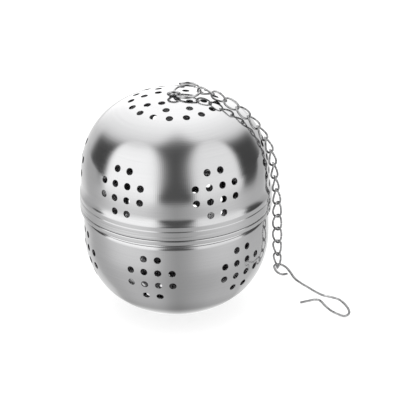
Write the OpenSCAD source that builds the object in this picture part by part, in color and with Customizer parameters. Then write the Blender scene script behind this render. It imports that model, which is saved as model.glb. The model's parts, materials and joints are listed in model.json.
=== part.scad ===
// Ball tea infuser: a perforated bowl and a perforated screw-on lid of thin sheet, a split-pin
// eye through the lid's crown, an open ring in the eye, a chain of twisted wire links draped
// over the shoulder of the lid, and a wire clip hook at the chain's end, leaning on the table.
// Origin: centre of the flat base, on the table. +Z up, -Y is the front. Millimetres.

/* [Shells] */
// Outer diameter across the rim bands
ball_d = 53; // [50:0.5:56]
// Height of the bowl's rim above the table
bowl_h = 31.1; // [29.5:0.1:32.5]
// Height of the lid's crown above the rim
lid_h = 30.7; // [29.5:0.1:32]
// Sheet thickness
wall = 0.4; // [0.3:0.05:0.5]
// Fullness of the lid's dome: 2 is an ellipse, more is squarer
lid_full = 2.3; // [2:0.05:2.5]
// Fullness of the bowl
bowl_full = 2.2; // [2:0.05:2.4]
// Height of the bowl's neck inside the lid's band
neck_h = 2.2; // [1.6:0.1:2.4]

/* [Perforation] */
// Diameter of each hole
hole_d = 2; // [1.4:0.1:2.2]
// Distance between neighbouring holes of a side group
hole_pitch = 3.9; // [3.4:0.05:4.2]
// Number of side groups round each shell
groups = 6; // [4:1:6]
// Height of the lid's lowest row of holes above the rim
lid_row = 6.35; // [5.5:0.05:7]
// Depth of the bowl's highest row of holes below the rim
bowl_row = 6.35; // [6:0.05:7.5]
// Turn of the lid's side groups about the vertical
lid_groups_turn = -125; // [-180:1:180]
// Turn of the bowl's side groups about the vertical
bowl_groups_turn = -106.5; // [-180:0.5:180]
// Radii of the hole circles round the crown and the base
circle_r = [11.7, 8.3, 5.35];
// Holes on each of those circles
circle_holes = [16, 8, 4];
// Turn of each of those circles
circle_turn = [-96.4, -105, -128];

/* [Eye and ring] */
// Wire of the eye
eye_wire = 0.7; // [0.6:0.05:0.8]
// Forward lean of the eye's arch
eye_lean = 35; // [0:5:45]
// Wire of the ring
ring_wire = 0.65; // [0.55:0.05:0.7]
// Radius of the ring's centreline
ring_r = 3.6; // [3.2:0.1:4]
// Rise of the ring's wire in one turn
ring_pitch = 0.85; // [0.8:0.05:1]

/* [Chain] */
// Number of links
links = 16; // [12:1:20]
// Outside length of a link
link_l = 5.1; // [4.6:0.1:5.4]
// Outside width of a link
link_w = 2.9; // [2.6:0.1:3.2]
// Wire of a link
link_wire = 0.55; // [0.45:0.05:0.6]
// Gap between the wires of two links that pull on each other
link_gap = 0.1; // [0.05:0.05:0.2]
// Twist of a link from one end to the other
link_twist = 80; // [60:5:90]

/* [Hook] */
// Wire of the hook
hook_wire = 0.7; // [0.6:0.05:0.8]
// Downward slope of the hook's shank
hook_slope = 25.3; // [10:0.1:35]
// Turn of the hook about the vertical
hook_turn = -25; // [-60:5:60]

/* [Hidden] */

function link_name(i) = str("link_", i < 10 ? "0" : "", i);

steel = [0.78, 0.79, 0.8];
$fn = 96;
wire_sides = 8;
gap = 0.1; // running clearance between pieces
rim_r = ball_d / 2;
crown_z = bowl_h + lid_h;

// ---------- shell outlines ----------
// A shell's side is a superellipse: [half width, height, fullness, level of its widest point,
// way it goes (1 up to the crown, -1 down to the base), distance from the rim to its widest point]
lid_shoulder = 7.5; // height of the lid's widest point over the rim
bowl_shoulder = 8.5; // depth of the bowl's widest point under the rim
crown_trim = 0.2; // how much the flat of the crown is lower than the superellipse's end
base_cut = 0.4; // how much the bowl's round end is cut off to make the flat base
lid_in = 0.5; // how much the lid's wall is inside the rim band
bowl_in = 0.95; // how much the bowl's wall is inside the rim band
lid_curve = [
    rim_r - lid_in, lid_h - lid_shoulder + crown_trim, lid_full, bowl_h + lid_shoulder, 1, lid_shoulder
];
bowl_curve = [
    rim_r - bowl_in, bowl_h - bowl_shoulder + base_cut, bowl_full, bowl_h - bowl_shoulder, -1, bowl_shoulder
];
step = 7.5; // step of the parameter along an outline

function unit(v) = v / norm(v);
function slope_out(c, p) = unit([pow(p[0] / c[0], c[2] - 1) / c[0], pow(p[1] / c[1], c[2] - 1) / c[1]]);
// The outline's point at parameter u (0 at the widest point, 90 at the axis), moved out by d
function side(c, u, d = 0) =
    let (p = [c[0] * pow(cos(u), 2 / c[2]), c[1] * pow(sin(u), 2 / c[2])], n = slope_out(c, p))
    [p[0] + d * n[0], c[3] + c[4] * (p[1] + d * n[1])];
// The parameter at which the outline has a radius r, or a distance z from its widest level
function u_of_r(c, r) = acos(pow(r / c[0], c[2] / 2));
function u_of_z(c, z) = asin(pow(z / c[1], c[2] / 2));
// Polar angle of the outline's outward normal from the vertical, up or down
function polar(c, u) =
    let (p = side(c, u), n = slope_out(c, [p[0], abs(p[1] - c[3])])) atan2(n[0], c[4] * n[1]);

// ---------- perforation ----------
// One hole at parameter u and angle a, along the wall's normal, and back towards the rim
module hole(c, u, a, back = 0) {
    p = side(c, u);
    rotate([0, 0, a]) translate([p[0], 0, p[1] - c[4] * back]) rotate([0, polar(c, u), 0])
        cylinder(d = hole_d, h = 4 * wall + 1, center = true, $fn = 32);
}

// The side groups have four rows of 2, 4, 4 and 2 holes on a square grid
row_holes = [2, 4, 4, 2];
module side_groups(c, first_row, turn) {
    for (g = [0:groups - 1], row = [0:3]) {
        z = first_row + row * hole_pitch - c[5];
        u = u_of_z(c, max(0, z));
        r = side(c, u)[0];
        n = row_holes[row];
        for (k = [0:n - 1])
            hole(c, u, turn + (g / groups + (k - (n - 1) / 2) * hole_pitch / (2 * PI * r)) * 360,
                max(0, -z));
    }
}

// Circles of holes round the crown or the base
module end_circles(c) {
    for (i = [0:len(circle_r) - 1], k = [0:circle_holes[i] - 1])
        hole(c, u_of_r(c, circle_r[i]), circle_turn[i] + k * 360 / circle_holes[i]);
}

// ---------- bowl ----------
// Outline from the flat base up to a shallow waist, out round the rim bead, and back to the neck
// that the lid screws over
neck_r = rim_r - 0.9;
module bowl() {
    u_base = u_of_z(bowl_curve, bowl_h - bowl_shoulder);
    us = [for (u = [0:step:u_base - 3]) u];
    outer = concat([[0, 0], side(bowl_curve, u_base)],
        [for (i = [len(us) - 1:-1:0]) side(bowl_curve, us[i])]);
    bead = [
        [rim_r - bowl_in, bowl_h - 4.2], [rim_r - 0.97, bowl_h - 3.4], [rim_r - 1.05, bowl_h - 2.6],
        [rim_r - 1.2, bowl_h - 1.9], [rim_r - 1.15, bowl_h - 1.7], [rim_r - 0.3, bowl_h - 1.5],
        [rim_r - 0.05, bowl_h - 1.1], [rim_r - 0.05, bowl_h - 0.5], [rim_r - 0.15, bowl_h - gap],
        [neck_r, bowl_h - gap], [neck_r, bowl_h + neck_h]
    ];
    bead_in = [
        [neck_r - wall, bowl_h + neck_h], [neck_r - wall, bowl_h - gap - wall],
        [rim_r - 0.5, bowl_h - gap - wall], [rim_r - 0.5, bowl_h - 1.1], [rim_r - 1.3, bowl_h - 1.3],
        [rim_r - 1.2 - wall, bowl_h - 1.6], [rim_r - 1.2 - wall, bowl_h - 1.9],
        [rim_r - 1.05 - wall, bowl_h - 2.6], [rim_r - 0.97 - wall, bowl_h - 3.4],
        [rim_r - bowl_in - wall, bowl_h - 4.2]
    ];
    inner = concat([for (u = us) side(bowl_curve, u, -wall)], [side(bowl_curve, u_base, -wall), [0, wall]]);
    color(steel) difference() {
        rotate_extrude() polygon(concat(outer, bead, bead_in, inner));
        side_groups(bowl_curve, bowl_row, bowl_groups_turn);
        end_circles(bowl_curve);
    }
}

// ---------- lid ----------
// Outline from the crown down the wall, which flares gently into the rim band. The band's lower
// edge sits on the bowl's bead.
crown_hole_r = eye_wire + 0.6;
module lid() {
    us = [for (u = [0:step:90 - step]) u];
    outer = concat([[0, side(lid_curve, 90)[1]]], [for (i = [len(us) - 1:-1:0]) side(lid_curve, us[i])]);
    band = [
        [rim_r - lid_in, bowl_h + 6.4], [rim_r - 0.1, bowl_h + 3.9], [rim_r - 0.1, bowl_h + 2.6],
        [rim_r, bowl_h + 2.3], [rim_r, bowl_h + 0.4], [rim_r - 0.1, bowl_h]
    ];
    band_in = [
        [rim_r - 0.1 - wall, bowl_h], [rim_r - wall, bowl_h + 0.4], [rim_r - wall, bowl_h + 2.3],
        [rim_r - 0.1 - wall, bowl_h + 2.6], [rim_r - 0.1 - wall, bowl_h + 3.9],
        [rim_r - lid_in - wall, bowl_h + 6.4]
    ];
    inner = concat([for (u = us) side(lid_curve, u, -wall)], [[0, side(lid_curve, 90)[1] - wall]]);
    color(steel) difference() {
        rotate_extrude() polygon(concat(outer, band, band_in, inner));
        side_groups(lid_curve, lid_row, lid_groups_turn);
        end_circles(lid_curve);
        translate([0, 0, crown_z - 3]) cylinder(r = crown_hole_r, h = 6, $fn = 32);
    }
}

// ---------- wire ----------
// A round wire along a path. refs are directions, never along the wire, that steer its facets.
function tangent(path, k, closed) =
    let (n = len(path))
    closed ? unit(path[(k + 1) % n] - path[(k + n - 1) % n])
        : unit(path[min(k + 1, n - 1)] - path[max(k - 1, 0)]);
function circle_round(p, t, ref, r) =
    let (x = unit(ref - t * (ref * t)), y = cross(t, x))
    [for (j = [0:wire_sides - 1]) p + r * (cos(360 * j / wire_sides) * x + sin(360 * j / wire_sides) * y)];
module wire(path, refs, d, closed = false) {
    n = len(path);
    s = wire_sides;
    points = [for (k = [0:n - 1]) each circle_round(path[k], tangent(path, k, closed), refs[k], d / 2)];
    spans = closed ? n : n - 1;
    walls = [
        for (k = [0:spans - 1], j = [0:s - 1])
            let (a = k * s + j, b = k * s + (j + 1) % s,
                c = (k + 1) % n * s + (j + 1) % s, e = (k + 1) % n * s + j)
            each [[a, c, b], [a, e, c]]
    ];
    ends = closed ? [] : [[for (j = [0:s - 1]) j], [for (j = [s - 1:-1:0]) (n - 1) * s + j]];
    polyhedron(points, concat(walls, ends));
}

// A smooth curve through control points (Catmull-Rom), with m steps between two of them
function spline(ps, m) = concat(
    [
        for (i = [0:len(ps) - 2], k = [0:m - 1])
            let (a = ps[max(i - 1, 0)], b = ps[i], c = ps[i + 1], d = ps[min(i + 2, len(ps) - 1)], t = k / m)
            0.5 * (2 * b + t * (c - a) + t * t * (2 * a - 5 * b + 4 * c - d)
                + t * t * t * (3 * b - a - 3 * c + d))
    ],
    [ps[len(ps) - 1]]
);

// ---------- eye ----------
// Half of the split pin's outline: [distance from the axis, height over the crown], the leg's
// spread end under the crown first and the top of the arch last
eye_half = [[3.2, -1.25], [1.5, -1.2], [0.6, -0.8], [0.4, 0],
    [0.9, 0.6], [1.55, 1.25], [1.2, 1.9], [0, 2.25]];
function leaned(p) = p[1] > 0 ? [p[0], -p[1] * sin(eye_lean), p[1] * cos(eye_lean)] : [p[0], 0, p[1]];
eye_points = concat(
    [for (p = eye_half) leaned([-p[0], p[1]])],
    [for (i = [len(eye_half) - 2:-1:0]) leaned(eye_half[i])]
);
module eye() {
    path = [for (p = spline(eye_points, 3)) p + [0, 0, crown_z]];
    color(steel) wire(path, [for (p = path) [0, 1, 0.01]], eye_wire);
}

// ---------- ring ----------
// The ring passes under the eye's arch at its left and carries the first link at its right.
ring_left = [0.3, -0.35, crown_z + 0.92];
ring_turn = 19; // heading of the ring's right end, from +X towards the back
ring_roll = 8; // how far the ring's back is raised
ring_rise = 3; // how far its right end is raised
ring_start = 105; // angle of the upper wire end
ring_end = -325; // angle of the lower wire end
ring_x = [cos(ring_turn) * cos(ring_rise), sin(ring_turn) * cos(ring_rise), sin(ring_rise)];
ring_flat = [-sin(ring_turn), cos(ring_turn), 0];
ring_y = cos(ring_roll) * ring_flat + sin(ring_roll) * cross(ring_x, ring_flat);
ring_z = cross(ring_x, ring_y);
function ring_climb(a) = ring_pitch * a / 360;
ring_c = ring_left + ring_r * ring_x - ring_climb(-180) * ring_z;
function ring_point(a) = ring_c + ring_r * (cos(a) * ring_x + sin(a) * ring_y) + ring_climb(a) * ring_z;
module ring() {
    path = [for (k = [0:54]) ring_point(ring_start + (ring_end - ring_start) * k / 54)];
    color(steel) wire(path, [for (p = path) ring_z], ring_wire);
}

// ---------- chain ----------
// The chain's line: from the ring it drifts sideways onto its own vertical plane, lies over the
// lid's shoulder, leaves it for the rim band and hangs down past the bowl.
chain_turn = -9; // angle of the chain's plane
lie = 1.3; // height of a link's middle over the sheet
lie_more = 0.05; // how much higher it lies for each millimetre nearer the ring, inside lie_r
lie_r = 21;
drift_r = 16; // distance from the axis where the chain leaves its plane for the ring
drift_bend = 24 / 64; // how sharply it does so, in degrees per square millimetre
hang_out = 0.25; // how much further out it hangs past the rim band
function drift(r) = chain_turn + drift_bend * pow(max(0, drift_r - r), 2);
function over_lid(u) =
    let (r0 = side(lid_curve, u)[0], h = lie + lie_more * max(0, lie_r - r0), p = side(lid_curve, u, h))
    [p[0] * cos(drift(p[0])), p[0] * sin(drift(p[0])), p[1]];
chain_dir = [cos(chain_turn), sin(chain_turn), 0];
hang = -19; // angle of the ring's point that the first link hangs on
ring_inside = ring_r - (ring_wire + link_wire) / 4 - link_gap;
chain_start = ring_c + ring_inside * (cos(hang) * ring_x + sin(hang) * ring_y) + ring_climb(hang) * ring_z;
rim_touch = (rim_r + lie + hang_out) * chain_dir + [0, 0, bowl_h + 0.7];
chain_line = concat(
    [chain_start],
    [for (u = [68:-4:8]) over_lid(u)],
    [rim_touch, rim_touch - [0, 0, bowl_h]]
);
chain_lengths = [for (k = 0, s = 0; k < len(chain_line);
    s = s + (k + 1 < len(chain_line) ? norm(chain_line[k + 1] - chain_line[k]) : 0), k = k + 1) s];
function along(s) =
    let (k = max([for (i = [0:len(chain_line) - 2]) if (chain_lengths[i] <= s) i]))
    chain_line[k] + (s - chain_lengths[k]) * unit(chain_line[k + 1] - chain_line[k]);
link_pitch = link_l - 2 * link_wire - link_gap;
// Pivot between link i - 1 and link i: pivot 1 is in the ring, and the last one in the hook
function pivot(i) = along((i - 1) * link_pitch);

// A link's axes: down the chain, out from the sheet, and across
function link_t(i) = unit(pivot(i + 1) - pivot(i));
function link_n(i) =
    let (t = link_t(i), side_way = unit(cross([0, 0, 1], [pivot(i)[0], pivot(i)[1], 0])))
        unit(cross(t, side_way));
function link_s(i) = cross(link_n(i), link_t(i));
// The first link stands up in the ring, the next ones lie nearly flat, and the hanging ones turn
// edge-on to the bowl
function link_roll(i) = 25 + 28 * max(0, 4.7 - i) + 18 * max(0, i - 10.3) + 3 * sin(100 * i);
function power(x, e) = sign(x) * pow(abs(x), e);
link_round = 2.5; // how full the ends of a link's oval are
function link_point(i, a) =
    let (
        half = (link_l - link_wire) / 2,
        x = half * power(cos(a), 2 / link_round),
        y = (link_w - link_wire) / 2 * power(sin(a), 2 / link_round),
        turn = link_roll(i) + link_twist / 2 * x / half
    )
    (pivot(i) + pivot(i + 1)) / 2 + x * link_t(i) + y * (cos(turn) * link_s(i) + sin(turn) * link_n(i));
module link(i) {
    path = [for (k = [0:23]) link_point(i, 15 * k + 7.5)];
    middle = (pivot(i) + pivot(i + 1)) / 2;
    color(steel) wire(path, [for (p = path) p - middle], link_wire, closed = true);
}

// ---------- hook ----------
// The hook's outline in its own upright plane: [distance along the shank, drop below it]. The
// small loop comes first, then the shank, the wide bend, the pinch and the flared tip.
hook_outline = [
    [3.4, 0.25], [2.2, 1.35], [0.5, 1.5], [-0.78, 0.45], [0.1, -1], [2, -1.4], [3.8, -0.8], [6.3, 0.3],
    [10.4, 0.3], [14.5, 0], [17.3, -1.1], [19.5, -1.8], [21.6, -1.5], [23.3, -0.6], [23.8, 0.5], [22.9, 1.9],
    [19.8, 2.7], [17.3, 2.5], [15, 1.9], [13.6, 2.6], [12.3, 4], [10.6, 5.9]
];
hook_pivot = pivot(links + 1);
hook_ex = [cos(hook_slope) * cos(hook_turn), cos(hook_slope) * sin(hook_turn), -sin(hook_slope)];
hook_out = [-sin(hook_turn), cos(hook_turn), 0];
hook_ey = cross(hook_ex, hook_out) * -1;
function hook_point(p) = hook_pivot + p[0] * hook_ex + p[1] * hook_ey;
module hook() {
    path = [for (p = spline(hook_outline, 3)) hook_point(p)];
    color(steel) wire(path, [for (p = path) hook_out], hook_wire);
}

bowl();
lid();
eye();
ring();
for (i = [1:links]) link(i);
hook();
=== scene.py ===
import bpy
import json
import math
import numpy as np
from mathutils import Matrix, Vector


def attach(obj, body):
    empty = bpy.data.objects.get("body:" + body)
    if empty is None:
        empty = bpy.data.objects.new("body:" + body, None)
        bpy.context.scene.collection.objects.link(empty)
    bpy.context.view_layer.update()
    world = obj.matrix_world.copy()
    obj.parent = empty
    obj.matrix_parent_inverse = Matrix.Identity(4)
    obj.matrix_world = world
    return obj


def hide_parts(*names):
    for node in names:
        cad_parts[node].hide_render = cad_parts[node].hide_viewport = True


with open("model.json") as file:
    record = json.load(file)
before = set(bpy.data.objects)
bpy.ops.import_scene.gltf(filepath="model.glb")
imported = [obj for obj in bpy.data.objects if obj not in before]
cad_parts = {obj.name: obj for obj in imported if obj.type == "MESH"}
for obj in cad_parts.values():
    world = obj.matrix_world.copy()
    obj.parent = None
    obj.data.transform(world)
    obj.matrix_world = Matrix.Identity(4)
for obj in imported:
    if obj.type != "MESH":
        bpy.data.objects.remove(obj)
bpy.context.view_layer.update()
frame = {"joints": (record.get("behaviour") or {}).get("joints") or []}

# ------------------------------------------------------------------ sizes, in millimetres
MM = 0.001
RIM_R, BOWL_H, LID_H, WALL = 26.5, 31.1, 30.7, 0.4
CROWN_Z = BOWL_H + LID_H
LID_SHOULDER, BOWL_SHOULDER = 7.5, 8.5
NECK_R, NECK_H = RIM_R - 0.9, 2.2
HOLE_R, PITCH, FIRST_ROW, CROWN_HOLE_R = 1.0, 3.9, 6.35, 1.3
GROUPS, ROWS = 6, (2, 4, 4, 2)
CIRCLES = ((11.7, 16, -96.4), (8.3, 8, -105), (5.35, 4, -128))
SHELL_STEPS, CURVE_STEP = 288, 1.25

# past its shoulder each shell follows a superellipse with half axes a and b and exponent n,
# from level z, which is a distance s from the rim, and up (d = 1) or down (d = -1) from there
LID_CURVE = dict(
    a=RIM_R - 0.56, b=LID_H - LID_SHOULDER + 0.2, n=2.3, z=BOWL_H + LID_SHOULDER, d=1, s=LID_SHOULDER)
BOWL_CURVE = dict(
    a=RIM_R - 0.95, b=BOWL_H - BOWL_SHOULDER + 0.4, n=2.2, z=BOWL_H - BOWL_SHOULDER, d=-1, s=BOWL_SHOULDER)


def unit(v):
    v = np.asarray(v, float)
    return v / np.linalg.norm(v)


# ------------------------------------------------------------------ mesh helpers
def mesh_object(name, verts, faces, material, body=None, node=None):
    """A smooth-shaded mesh from points in millimetres, riding a body and standing for its node."""
    me = bpy.data.meshes.new(name)
    me.from_pydata([tuple(MM * x for x in v) for v in verts], [], faces)
    me.validate()
    me.update()
    o = bpy.data.objects.new(name, me)
    bpy.context.scene.collection.objects.link(o)
    me.materials.append(material)
    me.polygons.foreach_set("use_smooth", [True] * len(me.polygons))
    if body:
        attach(o, body)
    if node:
        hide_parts(node)
    return o


def spline(points, m, closed=False):
    """Catmull-Rom curve through the points, m steps between two of them."""
    ps = [np.asarray(p, float) for p in points]
    n = len(ps)
    out = []
    for i in range(n if closed else n - 1):
        if closed:
            a, b, c, d = ps[i - 1], ps[i], ps[(i + 1) % n], ps[(i + 2) % n]
        else:
            a, b, c, d = ps[max(i - 1, 0)], ps[i], ps[i + 1], ps[min(i + 2, n - 1)]
        for k in range(m):
            t = k / m
            out.append(0.5 * (2 * b + t * (c - a) + t * t * (2 * a - 5 * b + 4 * c - d)
                              + t ** 3 * (3 * b - a - 3 * c + d)))
    if not closed:
        out.append(ps[-1])
    return np.array(out)


# ------------------------------------------------------------------ materials
def nodes_of(name):
    """A new material, its node tree, its shader and a short way to add a node."""
    m = bpy.data.materials.new(name)
    m.use_nodes = True
    nt = m.node_tree
    return m, nt, nt.nodes["Principled BSDF"], lambda kind: nt.nodes.new(kind)


def ramp(nt, source, lo, hi, out_lo, out_hi):
    n = nt.nodes.new("ShaderNodeMapRange")
    n.inputs["From Min"].default_value = lo
    n.inputs["From Max"].default_value = hi
    n.inputs["To Min"].default_value = out_lo
    n.inputs["To Max"].default_value = out_hi
    nt.links.new(source, n.inputs["Value"])
    return n.outputs["Result"]


def noise(nt, vector, scale, detail=3.0, rough=0.55):
    n = nt.nodes.new("ShaderNodeTexNoise")
    n.inputs["Scale"].default_value = scale
    n.inputs["Detail"].default_value = detail
    n.inputs["Roughness"].default_value = rough
    nt.links.new(vector, n.inputs["Vector"])
    return n.outputs["Fac"]


def math_node(nt, op, a, b):
    n = nt.nodes.new("ShaderNodeMath")
    n.operation = op
    for k, v in enumerate((a, b)):
        if isinstance(v, (int, float)):
            n.inputs[k].default_value = v
        else:
            nt.links.new(v, n.inputs[k])
    return n.outputs[0]


def shell_steel():
    """Polished sheet: a soft haze, faint turning marks along the circumference, a few smudges."""
    m, nt, bsdf, new = nodes_of("shell_steel")
    coord = new("ShaderNodeTexCoord")
    arc = new("ShaderNodeAttribute")
    arc.attribute_name = "arc"
    split = new("ShaderNodeSeparateXYZ")
    nt.links.new(coord.outputs["Object"], split.inputs[0])
    lay = new("ShaderNodeCombineXYZ")
    nt.links.new(math_node(nt, "MULTIPLY", split.outputs[0], 40.0), lay.inputs[0])
    nt.links.new(math_node(nt, "MULTIPLY", split.outputs[1], 40.0), lay.inputs[1])
    nt.links.new(math_node(nt, "MULTIPLY", arc.outputs["Fac"], 4.2), lay.inputs[2])
    turning = noise(nt, lay.outputs[0], 1.0, 4.0, 0.6)
    smudge = noise(nt, coord.outputs["Object"], 75.0, 3.0, 0.5)
    wave = noise(nt, coord.outputs["Object"], 120.0, 1.0, 0.4)
    smears = ramp(nt, smudge, 0.3, 0.7, 0.08, 0.13)
    marks = ramp(nt, turning, 0.3, 0.7, -0.02, 0.03)
    rough = math_node(nt, "ADD", smears, marks)
    nt.links.new(rough, bsdf.inputs["Roughness"])
    tint = new("ShaderNodeMix")
    tint.data_type = "RGBA"
    tint.inputs["A"].default_value = (0.42, 0.42, 0.425, 1)
    tint.inputs["B"].default_value = (0.48, 0.48, 0.483, 1)
    nt.links.new(turning, tint.inputs["Factor"])
    nt.links.new(tint.outputs["Result"], bsdf.inputs["Base Color"])
    bump = new("ShaderNodeBump")
    bump.inputs["Strength"].default_value = 0.05
    bump.inputs["Distance"].default_value = 0.00004
    nt.links.new(math_node(nt, "ADD", turning, math_node(nt, "MULTIPLY", wave, 3.0)), bump.inputs["Height"])
    nt.links.new(bump.outputs["Normal"], bsdf.inputs["Normal"])
    bsdf.inputs["Metallic"].default_value = 1.0
    return m


def wire_steel(name, lo, hi, rough_lo, rough_hi):
    """Drawn wire: bright, with dull spots and fine drawing marks."""
    m, nt, bsdf, new = nodes_of(name)
    coord = new("ShaderNodeTexCoord")
    spots = noise(nt, coord.outputs["Object"], 900.0, 3.0, 0.6)
    fine = noise(nt, coord.outputs["Object"], 4500.0, 2.0, 0.5)
    tint = new("ShaderNodeMix")
    tint.data_type = "RGBA"
    tint.inputs["A"].default_value = (lo, lo, lo * 1.01, 1)
    tint.inputs["B"].default_value = (hi, hi, hi * 1.005, 1)
    nt.links.new(ramp(nt, spots, 0.35, 0.65, 0.0, 1.0), tint.inputs["Factor"])
    nt.links.new(tint.outputs["Result"], bsdf.inputs["Base Color"])
    nt.links.new(ramp(nt, spots, 0.3, 0.7, rough_lo, rough_hi), bsdf.inputs["Roughness"])
    bump = new("ShaderNodeBump")
    bump.inputs["Strength"].default_value = 0.12
    bump.inputs["Distance"].default_value = 0.00002
    nt.links.new(fine, bump.inputs["Height"])
    nt.links.new(bump.outputs["Normal"], bsdf.inputs["Normal"])
    bsdf.inputs["Metallic"].default_value = 1.0
    return m


SHELL = shell_steel()
CHAIN = wire_steel("chain_wire", 0.2, 0.46, 0.07, 0.2)
HOOK = wire_steel("hook_wire", 0.22, 0.46, 0.07, 0.18)


# ------------------------------------------------------------------ shells
def outline(c, u, d=0.0):
    """A point of a shell's superellipse at parameter u in degrees, moved out by d."""
    x = c["a"] * math.cos(math.radians(u)) ** (2 / c["n"])
    y = c["b"] * math.sin(math.radians(u)) ** (2 / c["n"])
    n = unit([(x / c["a"]) ** (c["n"] - 1) / c["a"], (y / c["b"]) ** (c["n"] - 1) / c["b"]])
    return np.array([x + d * n[0], c["z"] + c["d"] * (y + d * n[1])]), np.array([n[0], c["d"] * n[1]])


def u_of_r(c, r):
    return math.degrees(math.acos((r / c["a"]) ** (c["n"] / 2)))


def u_of_z(c, z):
    return math.degrees(math.asin((z / c["b"]) ** (c["n"] / 2)))


def hole_places(c, turn):
    """Each hole's centre, outward normal and angle."""
    out = []
    for g in range(GROUPS):
        for row, count in enumerate(ROWS):
            z = FIRST_ROW + row * PITCH - c["s"]
            u = u_of_z(c, max(0.0, z))
            p, n = outline(c, u)
            p = p - np.array([0, c["d"] * max(0.0, -z)])
            for k in range(count):
                a = turn + (g / GROUPS + (k - (count - 1) / 2) * PITCH / (2 * math.pi * p[0])) * 360
                out.append((p, n, math.radians(a)))
    for r, count, t in CIRCLES:
        p, n = outline(c, u_of_r(c, r))
        for k in range(count):
            out.append((p, n, math.radians(t + k * 360 / count)))
    return out


def cutter(places):
    """Short pegs through the sheet, one for each hole."""
    sides = 40
    verts, faces = [], []
    for p, n, a in places:
        ca, sa = math.cos(a), math.sin(a)
        c = np.array([p[0] * ca, p[0] * sa, p[1]])
        axis = np.array([n[0] * ca, n[0] * sa, n[1]])
        x = np.array([-sa, ca, 0.0])
        y = np.cross(axis, x)
        base = len(verts)
        for d in (0.45, -0.85):
            for j in range(sides):
                t = 2 * math.pi * j / sides
                verts.append(c + d * axis + HOLE_R * (math.cos(t) * x + math.sin(t) * y))
        for j in range(sides):
            k = (j + 1) % sides
            faces.append((base + j, base + sides + j, base + sides + k, base + k))
        faces.append(tuple(base + j for j in range(sides)))
        faces.append(tuple(base + sides + j for j in reversed(range(sides))))
    return verts, faces


def crown_hole(verts, faces):
    """Adds a peg for the hole in the crown that the eye's legs go through."""
    sides, base = 48, len(verts)
    for d in (1.0, -1.5):
        for j in range(sides):
            t = 2 * math.pi * j / sides
            verts.append((CROWN_HOLE_R * math.cos(t), CROWN_HOLE_R * math.sin(t), CROWN_Z + d))
    for j in range(sides):
        k = (j + 1) % sides
        faces.append((base + j, base + sides + j, base + sides + k, base + k))
    faces.append(tuple(base + j for j in range(sides)))
    faces.append(tuple(base + sides + j for j in reversed(range(sides))))


def revolve(profile, segs, ripple):
    """Closed solid of revolution from a profile that starts and ends on the axis, (r, z) pairs."""
    verts, faces = [], []
    n = len(profile)
    ring_of = {}
    for i, (r, z) in enumerate(profile):
        if r < 1e-9:
            ring_of[i] = [len(verts)]
            verts.append((0.0, 0.0, z))
        else:
            ring_of[i] = list(range(len(verts), len(verts) + segs))
            for j in range(segs):
                t = 2 * math.pi * j / segs
                rr = r + ripple(t, r, z)
                verts.append((rr * math.cos(t), rr * math.sin(t), z))
    for i in range(n - 1):
        a, b = ring_of[i], ring_of[i + 1]
        for j in range(segs):
            k = (j + 1) % segs
            if len(a) == 1:
                faces.append((a[0], b[k], b[j]))
            elif len(b) == 1:
                faces.append((a[j], a[k], b[0]))
            else:
                faces.append((a[j], a[k], b[k], b[j]))
    return verts, faces


def shell(name, profile, flip, places, ripple, pierced=False):
    """A turned shell with its holes cut, with its points and the sheet's normal at each of them."""
    verts, faces = revolve(profile, SHELL_STEPS, ripple)
    if flip:
        faces = [tuple(reversed(f)) for f in faces]
    body = mesh_object(name, verts, faces, SHELL)
    cv, cf = cutter(places)
    if pierced:
        crown_hole(cv, cf)
    knife = mesh_object(name + "_cutter", cv, cf, SHELL)
    mod = body.modifiers.new("holes", "BOOLEAN")
    mod.operation = "DIFFERENCE"
    mod.object = knife
    mod.solver = "EXACT"
    bpy.context.view_layer.update()
    me = bpy.data.meshes.new_from_object(body.evaluated_get(bpy.context.evaluated_depsgraph_get()))
    body.modifiers.clear()
    body.data = me
    bpy.data.objects.remove(knife)
    me.name = name
    me.materials.clear()
    me.materials.append(SHELL)
    # the arc length along the outline steers the turning marks; normals come from the outline
    prof = np.array(profile, float)
    seg = np.diff(prof, axis=0)
    length = np.linalg.norm(seg, axis=1)
    arc = np.concatenate([[0], np.cumsum(length)])
    tangent = np.gradient(prof, axis=0)
    tangent /= np.linalg.norm(tangent, axis=1)[:, None]
    normal = np.stack([tangent[:, 1], -tangent[:, 0]], 1) * (1 if flip else -1)
    co = np.zeros(len(me.vertices) * 3)
    me.vertices.foreach_get("co", co)
    co = co.reshape(-1, 3) / MM
    rz = np.stack([np.hypot(co[:, 0], co[:, 1]), co[:, 2]], 1)
    best_d = np.full(len(rz), 1e9)
    best_a = np.zeros(len(rz))
    best_n = np.zeros((len(rz), 2))
    for i in range(len(seg)):
        t = np.clip(((rz - prof[i]) @ seg[i]) / max(length[i] ** 2, 1e-12), 0, 1)
        d = np.linalg.norm(rz - prof[i] - t[:, None] * seg[i], axis=1)
        closer = d < best_d
        best_d[closer] = d[closer]
        best_a[closer] = (arc[i] + t * length[i])[closer]
        n = normal[i] * (1 - t[:, None]) + normal[i + 1] * t[:, None]
        best_n[closer] = n[closer]
    attribute = me.attributes.new("arc", "FLOAT", "POINT")
    attribute.data.foreach_set("value", best_a.astype(np.float32))
    return body, co, best_n


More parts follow.
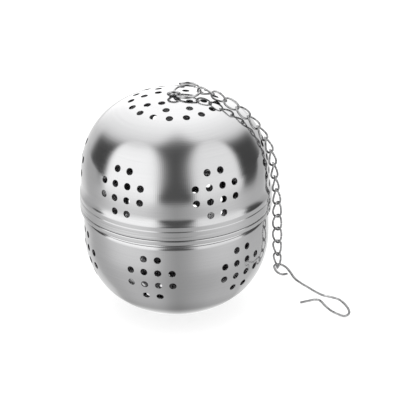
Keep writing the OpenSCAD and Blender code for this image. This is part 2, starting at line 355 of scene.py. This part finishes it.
def smooth_shell(body, co, best_n):
    """Keeps the sheet's own smooth normals right up to the holes, and the hole walls crisp."""
    soft = 0.8
    me = body.data
    ang = np.arctan2(co[:, 1], co[:, 0])
    n3 = np.stack([best_n[:, 0] * np.cos(ang), best_n[:, 0] * np.sin(ang), best_n[:, 1]], 1)
    n3 /= np.maximum(np.linalg.norm(n3, axis=1), 1e-9)[:, None]
    me.polygons.foreach_set("use_smooth", [True] * len(me.polygons))
    loops = np.zeros((len(me.loops), 3))
    for p in me.polygons:
        fn = np.array(p.normal)
        vs = list(p.vertices)
        mean = n3[vs].mean(0)
        on_sheet = fn @ mean > soft * np.linalg.norm(mean)
        for li, v in zip(p.loop_indices, vs):
            loops[li] = n3[v] if on_sheet else fn
    me.normals_split_custom_set([tuple(v) for v in loops])


def bowl_profile():
    """The bowl's section from the base's middle up the outside, over the neck and down the inside."""
    u_base = u_of_z(BOWL_CURVE, BOWL_H - BOWL_SHOULDER)
    us = [CURVE_STEP * k for k in range(int((u_base - 1.5) / CURVE_STEP) + 1)]
    base = outline(BOWL_CURVE, u_base)[0]
    outer = [(0.0, 0.0), (base[0] * 0.45, 0.0), (base[0] * 0.9, 0.0)]
    outer += [tuple(outline(BOWL_CURVE, u)[0]) for u in reversed(us)]
    z = BOWL_H
    x = RIM_R
    bead = spline([
        outline(BOWL_CURVE, 0)[0], (x - 0.95, z - 6), (x - 0.95, z - 4.6), (x - 0.965, z - 3.9),
        (x - 1.0, z - 3.4), (x - 1.08, z - 2.95), (x - 1.22, z - 2.62), (x - 1.38, z - 2.42),
        (x - 1.5, z - 2.15), (x - 1.5, z - 1.8), (x - 1.25, z - 1.6), (x - 0.6, z - 1.5),
        (x - 0.2, z - 1.43), (x - 0.08, z - 1.3), (x - 0.04, z - 1.1), (x - 0.04, z - 0.5),
        (x - 0.08, z - 0.25), (x - 0.18, z - 0.12), (x - 0.5, z - 0.1), (NECK_R + 0.12, z - 0.1),
        (NECK_R, z + 0.05), (NECK_R, z + 0.9), (NECK_R, z + 1.7), (NECK_R, z + NECK_H - 0.1),
    ], 5)[1:]
    neck_in = NECK_R - WALL
    lip = [(NECK_R - 0.06, z + NECK_H), (neck_in + 0.06, z + NECK_H), (neck_in, z + NECK_H - 0.1)]
    inside = spline([
        (neck_in, z + NECK_H - 0.1), (neck_in, z + 1), (neck_in, z - 0.35), (x - 1.15, z - 0.5),
        (x - 0.6, z - 0.52), (x - 0.46, z - 0.8), (x - 0.6, z - 1.06), (x - 1.4, z - 1.16),
        (x - 1.84, z - 1.5), (x - 1.88, z - 2.2), (x - 1.68, z - 2.7), (x - 1.46, z - 3.1),
        (x - 1.37, z - 3.9), (x - 1.35, z - 5), outline(BOWL_CURVE, 0, -WALL)[0],
    ], 4)[1:]
    inner = [tuple(outline(BOWL_CURVE, u, -WALL)[0]) for u in us[1:]]
    end = [(base[0] * 0.9, WALL), (base[0] * 0.45, WALL), (0.0, WALL)]
    return outer + [tuple(p) for p in bead] + lip + [tuple(p) for p in inside] + inner + end


def lid_profile():
    """The lid's section from the crown's top down the outside, round the rim and up the inside."""
    us = [CURVE_STEP * k for k in range(int(86 / CURVE_STEP) + 1)]
    top = outline(LID_CURVE, 90)[0]
    outer = [(0.0, top[1])] + [tuple(outline(LID_CURVE, u)[0]) for u in reversed(us)]
    z = BOWL_H
    x = RIM_R
    band = spline([
        outline(LID_CURVE, 0)[0], (x - 0.56, z + 6.8), (x - 0.55, z + 6.4), (x - 0.5, z + 5.8),
        (x - 0.41, z + 5.2), (x - 0.27, z + 4.6), (x - 0.11, z + 4.1), (x - 0.055, z + 3.8),
        (x - 0.05, z + 3.4), (x - 0.07, z + 3.0), (x - 0.085, z + 2.68), (x - 0.015, z + 2.42),
        (x - 0.005, z + 2.0), (x - 0.005, z + 1.2), (x - 0.01, z + 0.5), (x - 0.05, z + 0.18),
        (x - 0.12, z + 0.02),
    ], 5)[1:]
    lip = [(x - 0.25, z + 0.0), (x - 0.42, z + 0.03)]
    inside = spline([
        (x - 0.42, z + 0.03), (x - 0.44, z + 0.2), (x - 0.42, z + 1.2), (x - 0.42, z + 2.2),
        (x - 0.5, z + 2.7), (x - 0.52, z + 3.8), (x - 0.8, z + 5.1), (x - 0.94, z + 6.2),
        (x - 0.96, z + 6.9), outline(LID_CURVE, 0, -WALL)[0],
    ], 4)[1:]
    inner = [tuple(outline(LID_CURVE, u, -WALL)[0]) for u in us[1:]] + [(0.0, top[1] - WALL)]
    return outer + [tuple(p) for p in band] + lip + [tuple(p) for p in inside] + inner


THREAD_PITCH = 3.0


def helix(t, z, first, turns, start, height):
    """A raised thread line: height over the sheet at angle t and level z, fading at both ends."""
    total = 0.0
    for lap in range(3):
        along = (t - start) / (2 * math.pi) % 1 + lap
        if along > turns:
            continue
        fade = min(1.0, along / 0.12, (turns - along) / 0.12)
        level = first + THREAD_PITCH * along
        total += height * fade * math.exp(-((z - level) / 0.28) ** 2)
    return total


def neck_thread(t, r, z):
    """The raised line on the neck."""
    if z > BOWL_H and r > NECK_R - 0.1:
        return helix(t, z, BOWL_H + 0.35, 0.45, math.radians(-60), 0.3)
    return 0.0


def band_thread(t, r, z):
    """Two faint grooves round the band."""
    if r > RIM_R - 0.2 and BOWL_H + 0.2 < z < BOWL_H + 2.3:
        fade = min(1.0, (z - BOWL_H - 0.2) / 0.3, (BOWL_H + 2.3 - z) / 0.3)
        upper = helix(t, z, BOWL_H + 0.75, 0.4, math.radians(140), 0.05)
        lower = helix(t, z, BOWL_H + 0.2, 0.5, math.radians(150), 0.04)
        return -fade * (upper + lower)
    return 0.0


bowl_places = hole_places(BOWL_CURVE, -106.5)
lid_places = hole_places(LID_CURVE, -125)
bowl, bowl_co, bowl_normals = shell("bowl_shell", bowl_profile(), False, bowl_places, neck_thread)
lid, lid_co, lid_normals = shell("lid_shell", lid_profile(), True, lid_places, band_thread, pierced=True)
smooth_shell(bowl, bowl_co, bowl_normals)
smooth_shell(lid, lid_co, lid_normals)

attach(bowl, "bowl")
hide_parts("bowl")
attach(lid, "lid")
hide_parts("lid")


# ------------------------------------------------------------------ wires
def tube(name, path, d, material, body, node, closed=False, sides=16, ref=None, cap=0.12):
    """A round wire along the path, with slightly rounded cut ends. Frames are carried along it."""
    path = np.asarray(path, float)
    n = len(path)
    if closed:
        tan = np.roll(path, -1, 0) - np.roll(path, 1, 0)
    else:
        tan = np.gradient(path, axis=0)
    tan /= np.linalg.norm(tan, axis=1)[:, None]
    x = np.asarray(ref if ref is not None else (0.3, 0.2, 1.0), float)
    frames = []
    for k in range(n):
        x = x - tan[k] * (x @ tan[k])
        x /= np.linalg.norm(x)
        frames.append((x.copy(), np.cross(tan[k], x)))
    rings = [(path[k], frames[k], d / 2) for k in range(n)]
    if not closed:
        e = cap * d
        a, b = rings[0], rings[-1]
        ta, tb = tan[0], tan[-1]
        head = [(a[0] - ta * e * s, a[1], d / 2 * q) for s, q in ((1.0, 0.72), (0.85, 0.86), (0.45, 0.97))]
        tail = [(b[0] + tb * e * s, b[1], d / 2 * q) for s, q in ((0.45, 0.97), (0.85, 0.86), (1.0, 0.72))]
        rings = head + rings + tail
    verts = []
    for p, (fx, fy), r in rings:
        for j in range(sides):
            t = 2 * math.pi * j / sides
            verts.append(p + r * (math.cos(t) * fx + math.sin(t) * fy))
    m = len(rings)
    faces = []
    if closed:
        # the carried frame comes back turned: match the last ring to the first
        fx0, fy0 = frames[0]
        fxl, _ = frames[-1]
        turn = math.atan2(fxl @ fy0, fxl @ fx0)
        shift = int(round(turn / (2 * math.pi) * sides))
    for k in range(m if closed else m - 1):
        k2 = (k + 1) % m
        off = shift if (closed and k == m - 1) else 0
        for j in range(sides):
            j2 = (j + 1) % sides
            c, c2 = k2 * sides + (j + off) % sides, k2 * sides + (j2 + off) % sides
            faces.append((k * sides + j, k * sides + j2, c2, c))
    if not closed:
        faces.append(tuple(reversed(range(sides))))
        faces.append(tuple((m - 1) * sides + j for j in range(sides)))
    return mesh_object(name, verts, faces, material, body, node)


# eye: a split pin whose arch stands over the crown, leaning forward
LEAN = math.radians(35)
EYE_WIRE = 0.7
eye_half = [
    (3.2, -1.25), (1.5, -1.2), (0.6, -0.8), (0.4, 0), (0.9, 0.6), (1.55, 1.25), (1.2, 1.9), (0, 2.25),
]


def leaned(x, y):
    """A point of the eye: upright below the crown, leaning forward above it."""
    return (x, -y * math.sin(LEAN), y * math.cos(LEAN)) if y > 0 else (x, 0.0, y)


eye_points = [leaned(-x, y) for x, y in eye_half] + [leaned(x, y) for x, y in reversed(eye_half[:-1])]
tube("eye_wire", spline(eye_points, 8) + [0, 0, CROWN_Z], EYE_WIRE, CHAIN, "eye", "eye")

# ring: open, rather more than one turn
RING_R, RING_WIRE, RING_PITCH = 3.6, 0.65, 0.85
ring_turn, ring_roll, ring_tilt = (math.radians(a) for a in (19, 8, 3))
ring_left = np.array([0.3, -0.35, CROWN_Z + 0.92])
ring_flat = np.array([math.cos(ring_turn), math.sin(ring_turn), 0.0])
ring_x = math.cos(ring_tilt) * ring_flat + np.array([0.0, 0.0, math.sin(ring_tilt)])
flat = np.array([-math.sin(ring_turn), math.cos(ring_turn), 0.0])
ring_y = math.cos(ring_roll) * flat + math.sin(ring_roll) * np.cross(ring_x, flat)
ring_z = np.cross(ring_x, ring_y)
ring_c = ring_left + RING_R * ring_x + RING_PITCH / 2 * ring_z


def ring_point(a):
    """A point of the ring's coil at angle a in degrees."""
    t = math.radians(a)
    return ring_c + RING_R * (math.cos(t) * ring_x + math.sin(t) * ring_y) + RING_PITCH * a / 360 * ring_z


RING_START, RING_SWEEP, RING_STEPS = 105, 430, 160
ring_path = [ring_point(RING_START - RING_SWEEP * k / RING_STEPS) for k in range(RING_STEPS + 1)]
tube("ring_wire", ring_path, RING_WIRE, CHAIN, "ring", "ring", sides=20, ref=ring_z, cap=0.06)

# chain: every link is a twisted oval of wire with a butt joint on one side
LINKS, LINK_L, LINK_W, LINK_WIRE, TWIST = 16, 5.1, 2.9, 0.55, 80.0
LINK_DRAWN = LINK_WIRE + 0.02
LINK_CORNER, LINK_GAP, LINK_STEPS = 2 / 2.5, 1.2, 84
joints = {j["child"]: j for j in frame["joints"]}
pivots = [np.array(joints[f"link_{i:02d}"]["pos_m"]) / MM for i in range(1, LINKS + 1)]
pivots.append(np.array(joints["hook"]["pos_m"]) / MM)


def power(x, e):
    """x to the power e, keeping its sign."""
    return math.copysign(abs(x) ** e, x)


def link_path(i):
    """The open loop of link i's wire between its two pivots."""
    a, b = pivots[i - 1], pivots[i]
    t = unit(b - a)
    n = unit(np.cross(t, unit(np.cross([0, 0, 1], [a[0], a[1], 0]))))
    s = np.cross(n, t)
    roll = 25 + 28 * max(0, 4.7 - i) + 18 * max(0, i - 10.3) + 3 * math.sin(math.radians(100 * i))
    half = (LINK_L - LINK_WIRE) / 2
    seam = 83 if i % 3 else 263
    out = []
    for k in range(LINK_STEPS + 1):
        q = math.radians(seam + LINK_GAP + (360 - 2 * LINK_GAP) * k / LINK_STEPS)
        x = half * power(math.cos(q), LINK_CORNER)
        y = (LINK_W - LINK_WIRE) / 2 * power(math.sin(q), LINK_CORNER)
        w = math.radians(roll + TWIST / 2 * x / half)
        out.append((a + b) / 2 + x * t + y * (math.cos(w) * s + math.sin(w) * n))
    return out


for i in range(1, LINKS + 1):
    name = f"link_{i:02d}"
    tube(name + "_wire", link_path(i), LINK_DRAWN, CHAIN, name, name, sides=14, cap=0.05)

# hook: small loop, shank, wide bend, pinch and flared tip
hook_outline = [
    (3.4, 0.25), (2.2, 1.35), (0.5, 1.5), (-0.78, 0.45), (0.1, -1), (2, -1.4), (3.8, -0.8), (6.3, 0.3),
    (10.4, 0.3), (14.5, 0), (17.3, -1.1), (19.5, -1.8), (21.6, -1.5), (23.3, -0.6), (23.8, 0.5), (22.9, 1.9),
    (19.8, 2.7), (17.3, 2.5), (15, 1.9), (13.6, 2.6), (12.3, 4), (10.6, 5.9),
]
HOOK_WIRE = 0.66
slope, heading = math.radians(25.3), math.radians(-25)
ex = np.array([math.cos(slope) * math.cos(heading), math.cos(slope) * math.sin(heading), -math.sin(slope)])
out_way = np.array([-math.sin(heading), math.cos(heading), 0.0])
ey = -np.cross(ex, out_way)
hook_path = [pivots[-1] + p[0] * ex + p[1] * ey for p in spline(hook_outline, 9)]
tube("hook_wire", hook_path, HOOK_WIRE, HOOK, "hook", "hook", sides=20, ref=out_way)


# ------------------------------------------------------------------ stage, light and camera
def stage_mesh(name, verts, faces, material, glossy_only=False):
    """A piece of the studio, in metres, which may show in reflections only."""
    me = bpy.data.meshes.new(name)
    me.from_pydata(verts, [], faces)
    me.update()
    me.materials.append(material)
    o = bpy.data.objects.new(name, me)
    bpy.context.scene.collection.objects.link(o)
    if glossy_only:
        o.visible_camera = False
        o.visible_diffuse = False
        o.visible_shadow = False
        o.visible_transmission = False
    return o


floor_mat, _, bsdf, _ = nodes_of("floor_paper")
bsdf.inputs["Base Color"].default_value = (0.4, 0.4, 0.4, 1)
bsdf.inputs["Roughness"].default_value = 0.9
bsdf.inputs["Specular IOR Level"].default_value = 0.1
bsdf.inputs["Emission Color"].default_value = (1, 1, 1, 1)
bsdf.inputs["Emission Strength"].default_value = 0.72
stage_mesh("floor", [(-4, -4, 0), (4, -4, 0), (4, 4, 0), (-4, 4, 0)], [(0, 1, 2, 3)], floor_mat)


def rise(x, start, width):
    """0 well below start, 1 well above it, with a soft step of that width."""
    return 1 / (1 + math.exp(-max(-60.0, min(60.0, (x - start) / width))))


def light(a, e):
    """Brightness of the tent as it shows on a sheet that faces azimuth a from the front and
    elevation e: two front panels left and right of a dark gap, dark flags at both sides, a wide
    top panel, and a pale table below."""
    away = abs(a)
    side = math.tanh(a / 10)
    panel = (1.76 - 0.19 * side) * (0.47 + 0.53 * rise(e, 1.2, 3.4))
    gap = 0.15 + 0.41 * (1 - rise(e, 4.5, 0.8))
    foot = 18.5 - 9 * math.exp(-((a + 53) / 4) ** 2) if a < 0 else 3.5 + 13 * rise(a, 61, 2)
    flag = 0.11 + 0.62 * (1 - rise(e, foot, 1.2))
    flag += (1.0 - flag) * rise(away, 71, 2)
    # each panel has upright sides and a rounded top
    low = 1 - rise(e, 14, 3)
    inner, outer = 9.4 + 1.4 * low, 46 - 2 * side
    mid, half = (inner + outer) / 2, (outer - inner) / 2
    half *= max(0.0, 1 - (max(0.0, e - 23) / 25) ** 2.5) ** 0.4
    haze = 1 - rise(e, 3.2, 0.9)
    inside = rise(away, mid - half, 2.1 - 1.2 * low + 3.4 * haze)
    inside *= 1 - rise(away, mid + half, 1.0 + 4 * haze)
    dark = gap if away < mid else flag
    front = dark + (panel - dark) * inside
    front *= 1 - 0.3 * rise(-e, 35, 3)
    front *= 1 + 0.2 * rise(a, 26, 5) * (1 - rise(e, 0.5, 1.2)) * (1 - rise(a, 66, 3))
    front += 0.36 * max(0.0, -42 - e) / 8
    middle = math.exp(-((a - 2) / 15) ** 2)
    border = 43.5 + 9.5 * middle
    top = 1.35 + 0.75 * min(1.0, max(0.0, (e - 46) / 25))
    return front + (top - front) * rise(e, border, 1.9 + 0.9 * middle)


TO_CAMERA = Vector((0, -0.906, 0.4226)).normalized()


def glow_from(direction):
    """Brightness in a direction from the object."""
    n = Vector(direction).normalized() + TO_CAMERA
    n = n.normalized() if n.length > 1e-6 else Vector((0, 0, 1))
    return light(math.degrees(math.atan2(n.x, -n.y)), math.degrees(math.asin(n.z)))


def mirrored_at(c, u):
    """How far from the axis the sheet straight in front mirrors the table, and the sheet's facing."""
    p, n = outline(c, u)
    v = np.array([-TO_CAMERA.y, TO_CAMERA.z])
    d = 2 * (n @ v) * n - v
    return MM * (p[0] - d[0] * p[1] / d[1]), math.degrees(math.asin(n[1]))


FACING = [mirrored_at(BOWL_CURVE, u) for u in range(68, -1, -4)]
FACING += [mirrored_at(LID_CURVE, u) for u in range(0, 11, 2)]


def glow_on_table(az, r):
    """Brightness of the table at azimuth az and distance r from the middle of the base."""
    e = float(np.interp(r, [f[0] for f in FACING], [f[1] for f in FACING]))
    return light(az / (2 - min(1.0, 0.026 / r)), e)


def tent_material():
    """Light of the strength stored at each point of the tent."""
    m, nt, bsdf, new = nodes_of("tent")
    nt.nodes.remove(bsdf)
    emit = new("ShaderNodeEmission")
    attr = new("ShaderNodeAttribute")
    attr.attribute_name = "glow"
    nt.links.new(attr.outputs["Fac"], emit.inputs["Strength"])
    nt.links.new(emit.outputs[0], nt.nodes["Material Output"].inputs["Surface"])
    return m


def with_glow(o, values):
    attribute = o.data.attributes.new("glow", "FLOAT", "POINT")
    attribute.data.foreach_set("value", np.array(values, np.float32))


TENT = tent_material()
R, MIDDLE, FOOT = 0.5, 0.03, 0.0006
AZ, EL, RINGS, FIRST_RING = 480, 160, 110, 0.01
LOW = -math.degrees(math.asin((MIDDLE - FOOT) / R))
verts, values, faces = [], [], []
for e in range(EL):
    q = math.radians(LOW + (90 - LOW) * e / (EL - 1))
    for a in range(AZ):
        t = 2 * math.pi * a / AZ
        d = (math.sin(t) * math.cos(q), -math.cos(t) * math.cos(q), math.sin(q))
        verts.append((R * d[0], R * d[1], MIDDLE + R * d[2]))
        values.append(glow_from(d))
for e in range(EL - 1):
    for a in range(AZ):
        b = (a + 1) % AZ
        faces.append((e * AZ + a, e * AZ + b, (e + 1) * AZ + b, (e + 1) * AZ + a))
with_glow(stage_mesh("tent_dome", verts, faces, TENT, True), values)
verts, values, faces = [], [], []
edge = R * math.cos(math.radians(LOW))
for e in range(RINGS):
    r = FIRST_RING * (edge / FIRST_RING) ** (e / (RINGS - 1))
    for a in range(AZ):
        t = 2 * math.pi * a / AZ
        verts.append((r * math.sin(t), -r * math.cos(t), FOOT))
        az = 360 * a / AZ
        values.append(glow_on_table(az if az <= 180 else az - 360, r))
for e in range(RINGS - 1):
    for a in range(AZ):
        b = (a + 1) % AZ
        faces.append((e * AZ + a, e * AZ + b, (e + 1) * AZ + b, (e + 1) * AZ + a))
with_glow(stage_mesh("tent_table", verts, faces, TENT, True), values)

world = bpy.data.worlds.new("studio")
world.use_nodes = True
world.node_tree.nodes["Background"].inputs["Color"].default_value = (1, 1, 1, 1)
world.node_tree.nodes["Background"].inputs["Strength"].default_value = 1.05
bpy.context.scene.world = world


def area(name, place, size, strength, aim):
    """A soft rectangular lamp that doesn't show in reflections."""
    data = bpy.data.lights.new(name, "AREA")
    data.shape = "RECTANGLE"
    data.size, data.size_y = size
    data.energy = strength
    o = bpy.data.objects.new(name, data)
    o.location = place
    o.rotation_euler = (Vector(aim) - Vector(place)).to_track_quat("-Z", "Y").to_euler()
    bpy.context.scene.collection.objects.link(o)
    o.visible_glossy = False


area("key_top", (0.0, 0.1, 0.9), (1.0, 1.0), 3.0, (0, 0, 0.03))

cam = bpy.data.objects.new("camera", bpy.data.cameras.new("camera"))
bpy.context.scene.collection.objects.link(cam)
bpy.context.scene.camera = cam
eye_at, look = Vector((0, -0.60033, 0.31032)), Vector((0.00661, 0, 0.03076))
forward = (look - eye_at).normalized()
level = forward.cross(Vector((0, 0, 1))).normalized()
upright = level.cross(forward)
bank = math.radians(0.97)
right = level * math.cos(bank) - upright * math.sin(bank)
up = level * math.sin(bank) + upright * math.cos(bank)
cam.matrix_world = Matrix((
    (right.x, up.x, -forward.x, eye_at.x),
    (right.y, up.y, -forward.y, eye_at.y),
    (right.z, up.z, -forward.z, eye_at.z),
    (0, 0, 0, 1),
))
cam.data.lens = 215.9
cam.data.sensor_width = 36.0
cam.data.clip_start = 0.01
cam.data.clip_end = 20
bpy.context.scene.view_settings.view_transform = "Standard"
